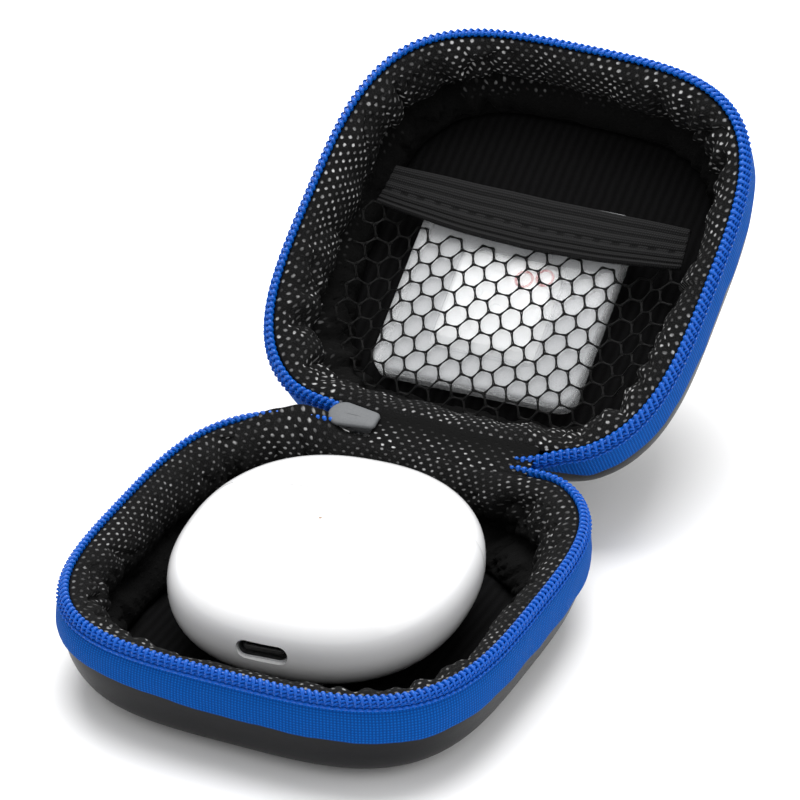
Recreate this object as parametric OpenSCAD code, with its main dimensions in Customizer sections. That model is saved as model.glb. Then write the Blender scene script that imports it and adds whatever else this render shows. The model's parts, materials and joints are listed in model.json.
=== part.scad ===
// Earphone kit: a zip-round carrying case that holds a wireless-earbud charging
// case in its lower half and a clear accessory box in the net pocket of its lid.
// Origin: centre of the lower half's underside. +Z up, the fold is at the +Y side.

/* [Carrying case] */
// Half width of the zip line, across the fold
half_w = 37.8; // [34:0.1:42]
// Half depth of the zip line, front to fold
half_d = 39.3; // [36:0.1:44]
// Height of the lower half, from the table to the zip line
rim_h = 18.6; // [17.5:0.1:22]
// Squareness of the outline: 2 is an ellipse
corner_n = 3.46; // [2.6:0.01:5]
// How far the lid stands open, in degrees from closed
open_angle = 147; // [90:1:160]
// Half width of the fabric hinge between the ends of the zip
hinge_half = 18; // [14:1:22]

/* [Charging case] */
// Half width of the charging case
pebble_a = 25.5; // [24:0.1:27]
// Half length of the charging case
pebble_b = 27.3; // [25:0.1:28]
// Half thickness of the charging case
pebble_c = 11.4; // [10.5:0.1:12]
// Turn of the charging case in its tray, in degrees
pebble_yaw = 5.6; // [0:0.1:8]
// Wall thickness of the charging case
pebble_wall = 1.6; // [1.2:0.1:2]
// Distance from the middle of the charging case to its lid seam
seam_y = 8.6; // [8:0.1:9.4]

/* [Accessory box] */
// Width of the clear box
box_w = 38.0; // [30:0.1:40]
// Length of the clear box
box_l = 38.2; // [30:0.1:40]
// Thickness of the clear box
box_t = 4.4; // [4:0.1:5]

/* [Hidden] */

$fn = 48;
// Points round one ring of the carrying case, and round one ring of the charging case
case_steps = 72;
pebble_steps = 36;

// The fold line
hinge_y = 39.04;
// Angle from +X at which the zip ends, round the outline
zip_end = 65;
// The left end stops at the slider
zip_end_left = 60.5;
// Depths below the zip line
coil_h = 2.0;
tape_top = 2.2;
tape_bottom = 8.5;
shell_edge = 2.7;
hinge_shell_edge = 5.4;
floor_top = 15.9;
floor_bottom = 16.7;
// How far the floor pad's edge stands in from the zip line
floor_inset = 6.6;
// How far the loose lining by the fold stands in from its tightest place
lining_slack = 5.0;
// How far the walls stand in across the fabric hinge
back_inset = 1.2;

// Depths in the lid of the elastic band, the net and the clear box
band_w = 9.0;
net_w = 9.8;
box_top = 10.6;
// The band across the pocket, in lid coordinates
band_y = -8.3;
band_width = 8.2;
net_back_y = 30;
box_center = [-1.0, 5.0];
box_turn = -1.2;
box_wall = 1.0;

// The charging case's place in the tray
pebble_x = -0.1;
pebble_y = 0.4;
pebble_z = rim_h - floor_top + pebble_c + 0.1;
plan_n = 2.3;
side_n = 2.5;
ring_n = 2.4;
seam_gap = 0.12;
// The charging case lid's axis, above the middle
lid_axis_z = 9.7;
pin_r = 0.5;
running_gap = 0.05;

// Earbuds, in the charging case
bud_x = 10.5;
bud_y = 13;
head_r = 5.6;
head_wall = 0.9;
stem_r = 2.7;
stem_end_y = -13;

// ---- shared shapes ----

// Distance from the centre of a superellipse of half size 1, at angle t
function super_r(t, n) = pow(pow(abs(cos(t)), n) + pow(abs(sin(t)), n), -1 / n);

// A point of the zip line's outline, moved out by o, at height z
function rim_pt(t, o, z) = [
    (half_w + o) * super_r(t, corner_n) * cos(t),
    (half_d + o) * super_r(t, corner_n) * sin(t),
    z
];

// 1 across the fabric hinge, 0 away from it, with a ramp between
function hinge_share(t) =
    let (off = abs(t % 360 - 90))
    off < 25 ? 1 : off > 40 ? 0 : (40 - off) / 15;

// Faces that join rings of n points, for a count of rings, with the first and last ring capped
function tube_faces(n, rings) = concat(
    [[for (i = [0:n - 1]) i]],
    [for (k = [0:rings - 2], i = [0:n - 1]) [
        (k + 1) * n + i,
        (k + 1) * n + (i + 1) % n,
        k * n + (i + 1) % n,
        k * n + i
    ]],
    [[for (i = [0:n - 1]) rings * n - 1 - i]]
);

// Faces that join rings into a closed loop
function loop_faces(n, rings) = [
    for (k = [0:rings - 1], i = [0:n - 1]) [
        k * n + i,
        k * n + (i + 1) % n,
        ((k + 1) % rings) * n + (i + 1) % n,
        ((k + 1) % rings) * n + i
    ]
];

// A bowl: profile(t) gives [offset, z] points from the middle of its underside,
// up its outer wall, over the edge and down to the middle of its inside
module bowl(profile) {
    rings = len(profile(0));
    points = [
        for (k = [0:rings - 1], i = [0:case_steps - 1])
            let (t = i * 360 / case_steps, p = profile(t)[k]) rim_pt(t, p[0], p[1])
    ];
    polyhedron(points, tube_faces(case_steps, rings), convexity = 6);
}

// A closed band right round the outline; profile(t) is the closed outline of its section
module round_band(profile) {
    rings = len(profile(0));
    points = [
        for (k = [0:rings - 1], i = [0:case_steps - 1])
            let (t = i * 360 / case_steps, p = profile(t)[k]) rim_pt(t, p[0], p[1])
    ];
    polyhedron(points, loop_faces(case_steps, rings), convexity = 6);
}

// A band from one end of the zip round the front to the other, with capped ends
module zip_band(profile) {
    n = len(profile);
    steps = 62;
    from = 180 - zip_end_left;
    span = 180 + zip_end + zip_end_left;
    points = [
        for (k = [0:steps], i = [0:n - 1])
            let (t = from + span * (1 - k / steps))
            rim_pt(t, profile[i][0] - back_inset * hinge_share(t), profile[i][1])
    ];
    polyhedron(points, tube_faces(n, steps + 1), convexity = 6);
}

// Flat outline of the case, moved in from the zip line
module case_outline(inset) {
    polygon([
        for (i = [0:case_steps - 1])
            let (p = rim_pt(i * 360 / case_steps, -inset, 0)) [p[0], p[1]]
    ]);
}

// Puts something drawn for the lower half, with z = 0 at the zip line, in its place
module in_base() {
    translate([0, 0, rim_h]) children();
}

// Puts something drawn below the zip line into the open lid
module in_lid() {
    translate([0, hinge_y, rim_h])
        rotate([-open_angle, 0, 0])
            translate([0, -hinge_y, 0])
                mirror([0, 0, 1]) children();
}

// The frame halfway between the two halves: +Z points out of the fold, +Y crosses it
module in_fold() {
    translate([0, hinge_y, rim_h])
        rotate([90 - open_angle / 2, 0, 0]) children();
}

// ---- carrying case ----

function shell_edge_at(t) = shell_edge + (hinge_shell_edge - shell_edge) * hinge_share(t);

function shell_profile(t) =
    let (e = shell_edge_at(t), b = back_inset * hinge_share(t))
    [
        [-7.5, -rim_h],
        [-4.4, -17.9],
        [-2.2 - b / 2, -16.2],
        [-0.6 - b, -13.3],
        [0.4 - b, -9.6],
        [0.15 - b, -e],
        [-1.2 - b, -e],
        [-1.4 - b, -9.6],
        [-2.4 - b, -12.8],
        [-3.9, -15.2],
        [-5.8, -16.7],
        [-8.4, -17.1]
    ];

module half_shell() {
    bowl(function(t) shell_profile(t));
}

// The lining is tight on the far side and loose by the fold
function looseness(t) = pow((1 + sin(t)) / 2, 2);

function lining_profile(t) =
    let (
        e = shell_edge_at(t),
        b = back_inset * hinge_share(t),
        k = lining_slack * looseness(t),
        floor_rest = 0.1 - floor_top
    )
    [
        [-1.3 - b, -e],
        [-1.5 - b, -9.6],
        [-2.5 - b, -12.8],
        [-3.9, -15.0],
        [-5.7, -16.45],
        [-6.5, -16.45],
        [-6.5, floor_rest],
        [-6.7 - k, floor_rest],
        [-6.0 - 0.8 * k, -13.0],
        [-5.2 - 0.5 * k, -9.6],
        [-3.9 - 0.2 * k - b, -e - 1.2],
        [-2.6 - b, -e]
    ];

module side_lining() {
    round_band(function(t) lining_profile(t));
}

module floor_pad() {
    translate([0, 0, -floor_bottom])
        linear_extrude(floor_bottom - floor_top) case_outline(floor_inset);
}

tape_section = [
    [0.2, -tape_top],
    [0.8, -5],
    [0.85, -tape_bottom],
    [1.45, -tape_bottom],
    [1.4, -5],
    [0.85, -tape_top]
];

coil_section = [
    [-0.45, -0.1],
    [-0.35, -coil_h],
    [0.85, -coil_h],
    [0.55, -0.1]
];

module base_shell() {
    color("#18191b") in_base() half_shell();
}

module base_side_lining() {
    color("#26272a") in_base() side_lining();
}

module base_floor_pad() {
    color("#1b1b1d") in_base() floor_pad();
}

module base_zip_tape() {
    color("#0f4fc4") in_base() zip_band(tape_section);
}

module base_zip_coil() {
    color("#1a62e0") in_base() zip_band(coil_section);
}

module lid_shell() {
    color("#18191b") in_lid() half_shell();
}

module lid_side_lining() {
    color("#26272a") in_lid() side_lining();
}

module lid_floor_pad() {
    color("#1b1b1d") in_lid() floor_pad();
}

module lid_zip_tape() {
    color("#0f4fc4") in_lid() zip_band(tape_section);
}

module lid_zip_coil() {
    color("#1a62e0") in_lid() zip_band(coil_section);
}

// Outline of the lining's inside at the pocket's depth
module pocket_outline() {
    polygon([
        for (i = [0:case_steps - 1])
            let (t = i * 360 / case_steps, p = rim_pt(t, -5.6 - 3.3 * looseness(t), 0)) [p[0], p[1]]
    ]);
}

// Elastic band across the pocket's mouth
module pocket_band() {
    color("#202124") in_lid()
        translate([0, 0, -band_w])
            linear_extrude(0.8)
                intersection() {
                    pocket_outline();
                    translate([-half_w, band_y - band_width / 2])
                        square([2 * half_w, band_width]);
                }
}

// Net panel from the band down to the fold side of the lid
module pocket_net() {
    net_front = band_y + band_width / 2 + 0.1;
    color("#101011") in_lid()
        translate([0, 0, -net_w - 0.3])
            linear_extrude(0.4)
                intersection() {
                    pocket_outline();
                    translate([-half_w, net_front])
                        square([2 * half_w, net_back_y - net_front]);
                }
}

// ---- fabric hinge and zip end ----

fabric_t = 0.5;

// Height on each half that the outer strip covers, below the zip line
strip_top = 5.0;

// One end of the outer strip, on a half's back wall
module strip_end() {
    strip_half = hinge_half - 1.2;
    translate([-strip_half, hinge_y - fabric_t - 0.08, -tape_bottom])
        cube([2 * strip_half, fabric_t, tape_bottom - strip_top]);
}

module hinge_fabric() {
    color("#17181a") in_base() strip_end();
    color("#17181a") in_lid() strip_end();
}

// Inner strip over the fold, to the right of the slider
module hinge_lining() {
    lining_from = -5.5;
    lining_to = 17;
    color("#26272a") in_fold()
        translate([lining_from, -1.5, -0.6])
            cube([lining_to - lining_from, 3, fabric_t]);
}

// Sewn stop where the two tapes meet
module zip_end_tack() {
    color("#0f4fc4") in_fold()
        translate([17.3, -0.7, -2.2])
            cube([1.4, 1.4, 1.2]);
}

// ---- zip slider ----

slider_x = -13.6;
// How far the slider hangs below the fold line
slider_drop = 1.2;
slider_l = 9.1;
slider_wide = 5.0;
slider_narrow = 3.6;
plate_t = 0.8;
plate_gap = 1.8;

// Outline of one slider plate: round at the wide end, square at the narrow end
module plate_outline() {
    intersection() {
        union() {
            translate([-slider_l / 2 + slider_wide / 2, 0]) circle(d = slider_wide);
            polygon([
                [-slider_l / 2 + slider_wide / 2, -slider_wide / 2],
                [slider_l / 2, -slider_narrow / 2],
                [slider_l / 2, slider_narrow / 2],
                [-slider_l / 2 + slider_wide / 2, slider_wide / 2]
            ]);
        }
        square([slider_l, slider_wide], center = true);
    }
}

eye_r = 1.4;
eye_hole_r = 0.6;
// Where the pull hangs, below the fold line
eye_z = -plate_gap / 2 - plate_t - eye_r + 0.4;

module slider_body() {
    color("#55585c") in_fold()
        translate([slider_x, 0, -slider_drop]) {
            // inner plate, on the side that shows
            translate([0, 0, plate_gap / 2]) linear_extrude(plate_t) plate_outline();
            // outer plate
            translate([0, 0, -plate_gap / 2 - plate_t])
                linear_extrude(plate_t) square([slider_l * 0.8, 1.6], center = true);
            // neck that splits the two coils
            translate([-2.6, 0, -plate_gap / 2]) cylinder(r = 0.7, h = plate_gap);
            // eye that carries the pull
            translate([0, 0, eye_z])
                rotate([90, 0, 0])
                    difference() {
                        cylinder(r = eye_r, h = 1, center = true);
                        cylinder(r = eye_hole_r, h = 2, center = true);
                    }
        }
}

// Slim pull that hangs from the slider's eye, edge on between the two halves
module pull_tab() {
    pull_l = 10;
    yoke_l = 3;
    color("#2b2d30") in_fold()
        translate([slider_x, 0, eye_z - slider_drop]) {
            rotate([90, 0, 0]) cylinder(r = eye_hole_r - running_gap, h = 2.2, center = true);
            for (side = [-1, 1])
                translate([-0.8, side * 0.85 - 0.25, -yoke_l])
                    cube([1.6, 0.5, yoke_l + 0.7]);
            translate([-2.2, -1.1, -pull_l]) cube([4.4, 2.2, pull_l - yoke_l]);
        }
}

// ---- clear accessory box, drawn in lid coordinates ----

module rounded_rect(w, l, r) {
    square([w - 2 * r, l], center = true);
    square([w, l - 2 * r], center = true);
    for (sx = [-1, 1], sy = [-1, 1])
        translate([sx * (w / 2 - r), sy * (l / 2 - r)]) circle(r = r);
}

box_split = 2.0;
cover_t = 0.8;

module in_box() {
    in_lid()
        translate([box_center[0], box_center[1], -box_top - box_t])
            rotate([0, 0, box_turn]) children();
}

module accessory_box_base() {
    base_h = box_t - box_split;
    color("#e6eaee", 0.4) in_box()
        difference() {
            linear_extrude(base_h) rounded_rect(box_w, box_l, 3);
            translate([0, 0, box_wall])
                linear_extrude(base_h) rounded_rect(box_w - 2 * box_wall, box_l - 2 * box_wall, 2);
        }
}

module accessory_box_cover() {
    color("#e6eaee", 0.4) in_box()
        translate([0, 0, box_t - box_split])
            difference() {
                linear_extrude(box_split) rounded_rect(box_w, box_l, 3);
                translate([0, 0, -0.1])
                    linear_extrude(box_split - cover_t + 0.1)
                        rounded_rect(box_w - 2 * box_wall, box_l - 2 * box_wall, 2);
            }
}

// White moulded tray liner with a square block that has sloped sides
module accessory_insert() {
    foot = 19.5;
    head = 17;
    flange_t = 0.6;
    gap = 0.15;
    high = box_t - box_wall - cover_t - flange_t - gap;
    color("#f4f4f4") in_box()
        translate([0, 0, box_wall + 0.02]) {
            linear_extrude(flange_t)
                rounded_rect(box_w - 2 * (box_wall + gap), box_l - 2 * (box_wall + gap), 1.8);
            translate([-0.9, 1.8, flange_t - 0.01])
                linear_extrude(high, scale = head / foot) square([foot, foot], center = true);
        }
}

// ---- charging case ----

module in_pebble() {
    translate([pebble_x, pebble_y, pebble_z]) rotate([0, 0, pebble_yaw]) children();
}

// Half width and half height of the charging case's section at y, moved in by inset
function pebble_w(y, inset) =
    (pebble_a - inset) * pow(max(0, 1 - pow(abs(y) / (pebble_b - inset), plan_n)), 1 / plan_n);
function pebble_h(y, inset) =
    (pebble_c - inset) * pow(max(0, 1 - pow(abs(y) / (pebble_b - inset), side_n)), 1 / side_n);

function pebble_ring(y, inset) = [
    for (i = [0:pebble_steps - 1])
        let (t = i * 360 / pebble_steps, r = super_r(t, ring_n))
        [pebble_w(y, inset) * r * cos(t), y, pebble_h(y, inset) * r * sin(t)]
];

// A cup open at y0, with its closed end towards sign * Y, wall between two insets
module pebble_cup(y0, sign, outer, inner, count) {
    y_out = pebble_b - outer;
    y_in = pebble_b - inner;
    // cosine spacing puts more rings near the closed end
    outs = [for (k = [0:count - 1]) cup_y(y0, sign * y_out * 0.995, k / (count - 1))];
    ins = [for (k = [0:count - 1]) cup_y(y0, sign * y_in * 0.995, 1 - k / (count - 1))];
    rings = concat(
        [for (k = [0:count - 1]) pebble_ring(outs[count - 1 - k], outer)],
        [for (k = [0:count - 1]) pebble_ring(ins[count - 1 - k], inner)]
    );
    points = [for (ring = rings, p = ring) p];
    if (sign > 0) {
        polyhedron(points, tube_faces(pebble_steps, len(rings)), convexity = 6);
    } else {
        polyhedron(
            points,
            [for (f = tube_faces(pebble_steps, len(rings))) [for (i = [0:len(f) - 1]) f[len(f) - 1 - i]]],
            convexity = 6
        );
    }
}

function cup_y(from, to, share) = from + (to - from) * sin(90 * share);

// The socket sits a little left of the middle
usb_x = -1.4;
usb_w = 8.94;
usb_t = 3.26;
usb_depth = 7;
usb_y = -pebble_b + 0.9;

// Rounded slot shape of the charging socket, along Y
module usb_slot(grow, from, length) {
    r = usb_t / 2 + grow;
    half = usb_w / 2 - usb_t / 2;
    translate([usb_x, from, 0]) rotate([-90, 0, 0]) {
        for (side = [-1, 1]) translate([side * half, 0, 0]) cylinder(r = r, h = length);
        translate([-half, -r, 0]) cube([2 * half, 2 * r, length]);
    }
}

light_y = -2.6;
// Half width of the gap in both shells for the hinge
notch_half = 10.8;
notch_floor = 8.4;

// The gap for the hinge on one side of the seam, reaching so far from it
module hinge_notch(side, half, reach) {
    translate([-half, side > 0 ? seam_y - 1 : seam_y - reach, notch_floor])
        cube([2 * half, reach + 1, 4]);
}

module case_body_shell() {
    color("#f6f6f6") in_pebble()
        difference() {
            pebble_cup(seam_y - seam_gap, -1, 0, pebble_wall, 9);
            usb_slot(0.08, -pebble_b - 1, 6);
            translate([0, light_y, 0]) cylinder(r = 0.6, h = pebble_c + 1);
            hinge_notch(-1, notch_half, 1.9);
        }
}

module case_lid_shell() {
    color("#f6f6f6") in_pebble()
        difference() {
            pebble_cup(seam_y + seam_gap, 1, 0, pebble_wall, 8);
            hinge_notch(1, notch_half, 1.4);
            // clearance for the top edge as the lid swings
            translate([-15.2, seam_y - 1, lid_axis_z - 0.1]) cube([30.4, 2.3, 4]);
        }
}

// Inner moulding of the lid, against the inside of its shell
module case_lid_liner() {
    color("#ececec") in_pebble()
        difference() {
            pebble_cup(seam_y + 0.4, 1, pebble_wall + 0.25, pebble_wall + 1.0, 6);
            translate([-11, seam_y - 1, 6.4]) cube([22, 4.5, 5]);
            for (side = [-1, 1])
                translate([side * 5, seam_y + 0.2, -8.2]) rotate([-90, 0, 0]) cylinder(r = 1.3, h = 2.4);
        }
}

cradle_back_y = -2;
cradle_front_y = seam_y - 0.5;
magnet_r = 1.2;
magnet_h = 1.4;
magnet_x = 5;
magnet_z = -7.6;

// Stem and head of one earbud, grown by gap to cut its pocket
module bud_space(gap) {
    translate([bud_x, stem_end_y - gap, -1]) rotate([-90, 0, 0]) cylinder(r = stem_r + gap, h = 30);
    translate([bud_x, bud_y, 0]) sphere(r = head_r + gap);
}

module earbud_cradle() {
    color("#efefef") in_pebble()
        difference() {
            translate([0, cradle_front_y, 0]) rotate([90, 0, 0])
                linear_extrude(cradle_front_y - cradle_back_y)
                    polygon([
                        for (i = [0:pebble_steps - 1])
                            let (t = i * 360 / pebble_steps, r = super_r(t, ring_n))
                            [
                                (pebble_w(seam_y, pebble_wall) - 0.3) * r * cos(t),
                                (pebble_h(seam_y, pebble_wall) - 0.3) * r * sin(t)
                            ]
                    ]);
            for (side = [0, 1]) mirror([side, 0, 0]) bud_space(0.25);
            for (side = [-1, 1])
                translate([side * magnet_x, cradle_front_y - magnet_h - 0.1, magnet_z])
                    rotate([-90, 0, 0]) cylinder(r = magnet_r, h = 3);
            translate([-11, seam_y - 2.1, 8.0]) cube([22, 3, 6]);
        }
}

knuckle_r = 1.05;
arm_x = 6.2;
arm_w = 1.8;

// Fixed knuckles of the lid's hinge, with their mounting bar
module case_hinge_block() {
    bar_y = seam_y - 1.75;
    color("#e9e9e9") in_pebble()
        difference() {
            union() {
                translate([-9, bar_y, notch_floor + 0.1]) cube([18, 0.6, 2.2]);
                for (piece = [[0, 10.2], [-8, 1.5], [8, 1.5]])
                    translate([piece[0], 0, 0]) {
                        translate([0, seam_y, lid_axis_z]) rotate([0, 90, 0])
                            cylinder(r = knuckle_r, h = piece[1], center = true);
                        translate([-piece[1] / 2, bar_y, lid_axis_z - 0.6])
                            cube([piece[1], seam_y - bar_y, 1.2]);
                    }
            }
            translate([-11, seam_y, lid_axis_z]) rotate([0, 90, 0]) cylinder(r = pin_r, h = 22);
        }
}

module case_hinge_pin() {
    color("#c9ccd0") in_pebble()
        translate([-8.6, seam_y, lid_axis_z]) rotate([0, 90, 0])
            cylinder(r = pin_r, h = 17.2);
}

// The lid's own arms on the pin
module lid_hinge_arms() {
    color("#e9e9e9") in_pebble()
        for (side = [-1, 1])
            difference() {
                union() {
                    translate([side * arm_x, seam_y, lid_axis_z]) rotate([0, 90, 0])
                        cylinder(r = knuckle_r, h = arm_w, center = true);
                    translate([side * arm_x - arm_w / 2, seam_y, lid_axis_z - 1.0])
                        cube([arm_w, 1.3, 1.0]);
                    translate([side * arm_x - arm_w / 2, seam_y + 0.2, lid_axis_z - 1.75])
                        cube([arm_w, 2.2, 1.0]);
                }
                translate([side * arm_x, seam_y, lid_axis_z]) rotate([0, 90, 0])
                    cylinder(r = pin_r + running_gap, h = 4, center = true);
            }
}

module body_magnets() {
    color("#9a9da1") in_pebble()
        for (side = [-1, 1])
            translate([side * magnet_x, cradle_front_y - magnet_h - 0.05, magnet_z])
                rotate([-90, 0, 0]) cylinder(r = magnet_r - 0.05, h = magnet_h);
}

module lid_magnets() {
    color("#9a9da1") in_pebble()
        for (side = [-1, 1])
            translate([side * magnet_x, seam_y + 0.5, magnet_z + 0.2])
                rotate([-90, 0, 0]) cylinder(r = magnet_r - 0.2, h = magnet_h);
}

module case_battery() {
    color("#8f9aa5") in_pebble()
        translate([-6, -14, -4]) cube([12, 11, 6]);
}

module case_circuit_board() {
    color("#1d6b3a") in_pebble()
        translate([-6.5, -22.5, -2.6]) cube([13, 7.5, 0.8]);
}

module usb_socket() {
    color("#c4c7ca") in_pebble()
        difference() {
            usb_slot(0, usb_y, usb_depth - 3.2);
            usb_slot(-0.3, usb_y - 1, usb_depth - 3.2);
        }
    color("#c4c7ca") in_pebble()
        translate([usb_x - 3.34, usb_y + 0.5, -0.35]) cube([6.68, usb_depth - 3.9, 0.7]);
}

module status_light() {
    color("#e8e2d8") in_pebble()
        translate([0, light_y, 8.5]) cylinder(r = 0.5, h = pebble_c - 8.5 - 0.1);
}

// Contacts at the bottom of the earbuds' pockets
module charging_pins() {
    color("#d8b45a") in_pebble()
        for (side = [-1, 1], up = [-1, 1])
            translate([side * bud_x, stem_end_y - 2, up * 1.1 - 1])
                rotate([-90, 0, 0]) cylinder(r = 0.45, h = 1.6);
}

// ---- earbuds: drawn on the +X side, mirrored for the left ----

module bud_shell() {
    color("#f2f2f2")
        difference() {
            union() {
                translate([bud_x, stem_end_y + stem_r, -1]) rotate([-90, 0, 0])
                    cylinder(r = stem_r, h = bud_y - stem_end_y - stem_r);
                translate([bud_x, stem_end_y + stem_r, -1]) sphere(r = stem_r);
                translate([bud_x, bud_y, 0]) sphere(r = head_r);
                translate([bud_x, bud_y, 0]) rotate([0, -90, 0]) cylinder(r = 2.3, h = head_r + 2);
            }
            translate([bud_x, bud_y, 0]) sphere(r = head_r - head_wall);
            translate([bud_x, bud_y, 0]) rotate([0, -90, 0]) cylinder(r = 1.5, h = head_r + 3);
        }
}

module ear_tip() {
    color("#e4e4e4")
        translate([bud_x - head_r - 0.5, bud_y, 0]) rotate([0, -90, 0])
            rotate_extrude()
                polygon([[2.35, 0.2], [4.4, 0.6], [4.5, 1.6], [3.8, 3.2], [2.4, 4.0], [1.6, 3.6], [2.35, 2.2]]);
}

module driver() {
    color("#b08d57")
        translate([bud_x - 1.2, bud_y, 0]) rotate([0, -90, 0]) cylinder(r = 3.4, h = 1.6);
}

module cell() {
    color("#aeb3b8")
        translate([bud_x + 2.4, bud_y, 0]) rotate([0, -90, 0]) cylinder(r = 3.3, h = 2.6);
}

module right_earbud_shell() {
    in_pebble() bud_shell();
}

module left_earbud_shell() {
    in_pebble() mirror([1, 0, 0]) bud_shell();
}

module right_ear_tip() {
    in_pebble() ear_tip();
}

module left_ear_tip() {
    in_pebble() mirror([1, 0, 0]) ear_tip();
}

module right_driver() {
    in_pebble() driver();
}

module left_driver() {
    in_pebble() mirror([1, 0, 0]) driver();
}

module right_cell() {
    in_pebble() cell();
}

module left_cell() {
    in_pebble() mirror([1, 0, 0]) cell();
}

base_shell();
base_side_lining();
base_floor_pad();
base_zip_tape();
base_zip_coil();
lid_shell();
lid_side_lining();
lid_floor_pad();
lid_zip_tape();
lid_zip_coil();
pocket_band();
pocket_net();
hinge_fabric();
hinge_lining();
zip_end_tack();
slider_body();
pull_tab();
accessory_box_base();
accessory_box_cover();
accessory_insert();
case_body_shell();
case_lid_shell();
case_lid_liner();
earbud_cradle();
case_hinge_block();
case_hinge_pin();
lid_hinge_arms();
body_magnets();
lid_magnets();
case_battery();
case_circuit_board();
usb_socket();
status_light();
charging_pins();
left_earbud_shell();
right_earbud_shell();
left_ear_tip();
right_ear_tip();
left_driver();
right_driver();
left_cell();
right_cell();
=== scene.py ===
"""Looks of the earphone kit: open zip case, charging case in its tray, clear box in the lid's net pocket."""

import json
import math

import bpy
import numpy as np
from mathutils import Matrix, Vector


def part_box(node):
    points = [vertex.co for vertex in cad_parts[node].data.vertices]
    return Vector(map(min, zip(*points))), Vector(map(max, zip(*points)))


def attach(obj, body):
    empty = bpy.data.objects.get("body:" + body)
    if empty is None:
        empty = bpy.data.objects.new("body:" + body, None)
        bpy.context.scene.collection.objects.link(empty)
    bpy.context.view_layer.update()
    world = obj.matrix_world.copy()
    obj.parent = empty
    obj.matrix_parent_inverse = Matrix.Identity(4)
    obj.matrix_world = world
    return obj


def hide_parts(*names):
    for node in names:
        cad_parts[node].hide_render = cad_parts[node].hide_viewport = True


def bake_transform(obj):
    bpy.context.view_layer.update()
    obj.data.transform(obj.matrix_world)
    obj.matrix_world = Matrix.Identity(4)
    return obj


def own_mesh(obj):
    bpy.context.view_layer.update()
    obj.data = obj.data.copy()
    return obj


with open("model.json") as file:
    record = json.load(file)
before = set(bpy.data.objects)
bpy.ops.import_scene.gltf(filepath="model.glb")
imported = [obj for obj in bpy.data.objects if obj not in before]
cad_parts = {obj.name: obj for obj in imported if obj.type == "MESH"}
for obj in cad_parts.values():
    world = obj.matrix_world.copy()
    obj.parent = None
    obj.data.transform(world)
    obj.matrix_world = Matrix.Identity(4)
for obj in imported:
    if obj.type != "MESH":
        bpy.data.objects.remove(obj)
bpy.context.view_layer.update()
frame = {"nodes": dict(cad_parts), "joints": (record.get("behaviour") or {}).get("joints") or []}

MM = 0.001
TAU = 2 * math.pi

# ---- sizes of the case, in millimetres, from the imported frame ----

joints = {j["name"]: j for j in frame["joints"]}
fold_axis = joints["lid_fold"]["pos_m"]
HINGE_Y = fold_axis[1] / MM
RIM_H = fold_axis[2] / MM
OPEN = math.radians(-joints["lid_fold"]["range_deg"][0])
coil_low, coil_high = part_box("base_zip_coil")
COIL_OUT = 0.85
HALF_W = coil_high.x / MM - COIL_OUT
HALF_D = -coil_low.y / MM - COIL_OUT
CORNER_N = 3.46
BACK_INSET = 1.2
ZIP_END = math.radians(65)
FLOOR_TOP = -15.9
HINGE_HALF = 16.8

# ---- placing things ----


def super_r(t, n):
    """Distance from the centre of a superellipse of half size 1, at angle t."""
    return (np.abs(np.cos(t)) ** n + np.abs(np.sin(t)) ** n) ** (-1 / n)


def smoothstep(x):
    x = np.clip(x, 0, 1)
    return x * x * (3 - 2 * x)


def hinge_share(t):
    """1 across the fabric hinge, 0 away from it."""
    off = np.abs((np.degrees(t) - 90 + 180) % 360 - 180)
    return smoothstep((40 - off) / 15)


def rim(t, o, z, back=1.0):
    """Points of the zip line's outline, moved out by o, at height z from the zip line."""
    o = o - back * BACK_INSET * hinge_share(t)
    r = super_r(t, CORNER_N)
    x = (HALF_W + o) * r * np.cos(t)
    y = (HALF_D + o) * r * np.sin(t)
    return np.stack(np.broadcast_arrays(x, y, z), -1)


def turned(x, y, angle):
    """A point of a plane, turned about its origin."""
    c, s = math.cos(angle), math.sin(angle)
    return x * c - y * s, x * s + y * c


def to_base(p):
    """From coordinates with z = 0 at the zip line to the row frame, in metres."""
    return (np.asarray(p, float) + [0, 0, RIM_H]) * MM


def to_fold(p, angle=math.pi / 2 - OPEN / 2):
    """From a frame turned about the fold; as given, its +Z points out halfway between the two halves."""
    p = np.asarray(p, float)
    y, z = turned(p[..., 1], p[..., 2], angle)
    return np.stack([p[..., 0], HINGE_Y + y, RIM_H + z], -1) * MM


def to_lid(p):
    """The same piece in the open lid: mirrored over the zip line, then turned about the fold."""
    return to_fold((np.asarray(p, float) - [0, HINGE_Y, 0]) * [1, 1, -1], -OPEN)


case_axis = joints["charging_case_lid_open"]
YAW = math.atan2(case_axis["axis"][1], case_axis["axis"][0])
USB_X = -1.4
SEAM_Y = 8.6
PIN_Z = 9.7
CASE_CENTER = np.array(case_axis["pos_m"]) / MM - [*turned(0, SEAM_Y, YAW), PIN_Z]


def to_case(p):
    """From the charging case's own frame to the row frame."""
    p = np.asarray(p, float)
    return (np.stack([*turned(p[..., 0], p[..., 1], YAW), p[..., 2]], -1) + CASE_CENTER) * MM


# ---- mesh building ----


def make(name, verts, faces, mat, uvs=None):
    """A smooth mesh object from points in metres; uvs is one (u, v) per vertex."""
    mesh = bpy.data.meshes.new(name)
    mesh.from_pydata([tuple(map(float, v)) for v in np.asarray(verts).reshape(-1, 3)], [], faces)
    mesh.polygons.foreach_set("use_smooth", [True] * len(mesh.polygons))
    if uvs is not None:
        layer = mesh.uv_layers.new(name="weave")
        index = np.zeros(len(mesh.loops), int)
        mesh.loops.foreach_get("vertex_index", index)
        layer.data.foreach_set("uv", np.asarray(uvs, np.float32).reshape(-1, 2)[index].ravel())
    obj = bpy.data.objects.new(name, mesh)
    bpy.context.scene.collection.objects.link(obj)
    mesh.materials.append(mat)
    mesh.update()
    return obj


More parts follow.
